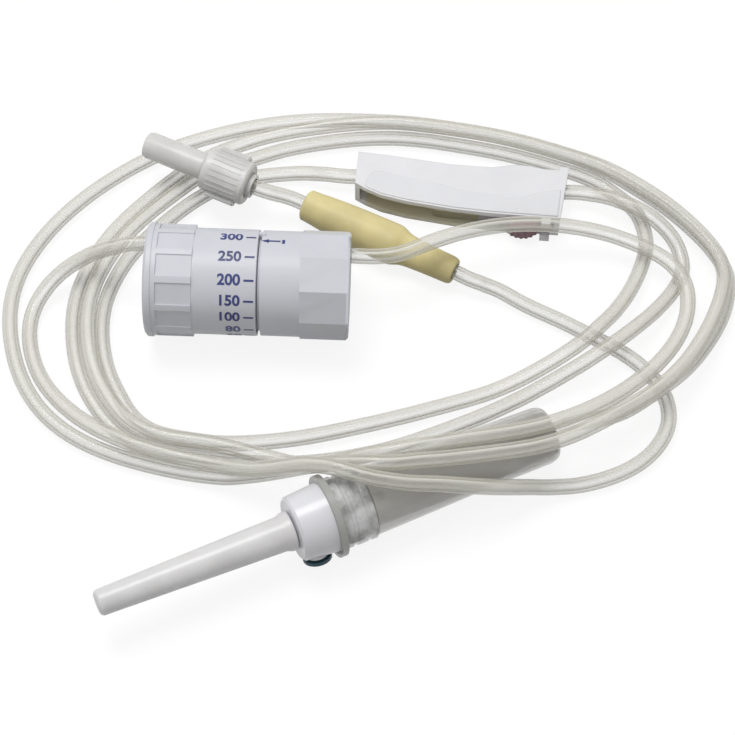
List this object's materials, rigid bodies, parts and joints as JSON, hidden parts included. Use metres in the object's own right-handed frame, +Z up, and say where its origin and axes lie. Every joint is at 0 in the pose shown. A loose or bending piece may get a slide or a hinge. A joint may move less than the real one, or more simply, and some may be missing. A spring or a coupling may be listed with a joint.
{
  "type": "iv infusion set",
  "caption": "Gravity infusion line: spiked drip chamber, roller clamp, dial flow regulator, latex injection bulb and capped end connector on coiled clear tubing.",
  "frame": {"origin": "middle of the solids' bounding box at the surface that the set lies on", "axes": "+X to the right along the dial's axis, +Y away from the viewer, +Z up"},
  "size_m": [0.1838, 0.1476, 0.0281],
  "materials": {
    "hub_white": "satin moulded, bluish white",
    "frosted_plastic": "frosted translucent moulding",
    "clear_rigid": "clear rigid moulding",
    "clear_soft": "soft clear wall",
    "tubing": "flexible clear tubing",
    "dial_white": "satin with printed scale",
    "clamp_white": "glossy milk white",
    "inner_white": "plain moulded",
    "roller_maroon": "ribbed rim",
    "vent_teal": "soft moulded flap",
    "filter_white": "membrane",
    "latex": "dull dipped latex",
    "seal_grey": "soft seal"
  },
  "bodies": {
    "line": {"spike_hub": "hub_white", "vent_filter": "filter_white", "chamber_cap": "clear_rigid", "drop_former": "clear_rigid", "drip_chamber": "clear_soft", "fluid_filter": "filter_white", "chamber_outlet": "clear_rigid", "regulator_core": "inner_white", "regulator_base": "dial_white", "regulator_gasket": "seal_grey", "regulator_seal": "seal_grey", "clamp_body": "clamp_white", "clamp_tube": "tubing", "latex_bulb": "latex", "bulb_inlet_sleeve": "inner_white", "bulb_outlet_sleeve": "inner_white", "connector_body": "frosted_plastic", "tube_chamber_to_clamp": "tubing", "tube_clamp_to_regulator": "tubing", "tube_regulator_to_bulb": "tubing", "tube_bulb_to_connector": "tubing"},
    "spike_cover": {"spike_cap": "frosted_plastic"},
    "dial": {"regulator_dial": "dial_white"},
    "roller": {"clamp_wheel": "roller_maroon"},
    "vent_flap": {"vent_cap": "vent_teal"},
    "collar": {"lock_collar": "frosted_plastic"},
    "end_cover": {"connector_cap": "frosted_plastic"}
  },
  "joints": [
    {"name": "spike_cap_pull", "type": "slide", "parent": "line", "child": "spike_cover", "axis": [-0.9099, -0.4108, 0.0576], "range_m": [0, 0.05]},
    {"name": "dial_turn", "type": "hinge", "parent": "line", "child": "dial", "pos_m": [-0.04875, 0.022, 0.0141], "axis": [0.9994, -0.0337, -0.0113], "range_deg": [-285, 15]},
    {"name": "roller_travel", "type": "slide", "parent": "line", "child": "roller", "axis": [-0.9906, 0.1366, 0], "range_m": [0, 0.022]},
    {"name": "vent_flap_swing", "type": "hinge", "parent": "line", "child": "vent_flap", "pos_m": [-0.00549, -0.04954, 0.00451], "axis": [-0.9099, -0.4108, 0.0576], "range_deg": [0, 110]},
    {"name": "collar_turn", "type": "hinge", "parent": "line", "child": "collar", "pos_m": [-0.02505, 0.0525, 0.0106], "axis": [-0.9172, 0.3911, 0.0761], "continuous": true},
    {"name": "end_cap_pull", "type": "slide", "parent": "line", "child": "end_cover", "axis": [-0.9172, 0.3911, 0.0761], "range_m": [0, 0.02]}
  ]
}
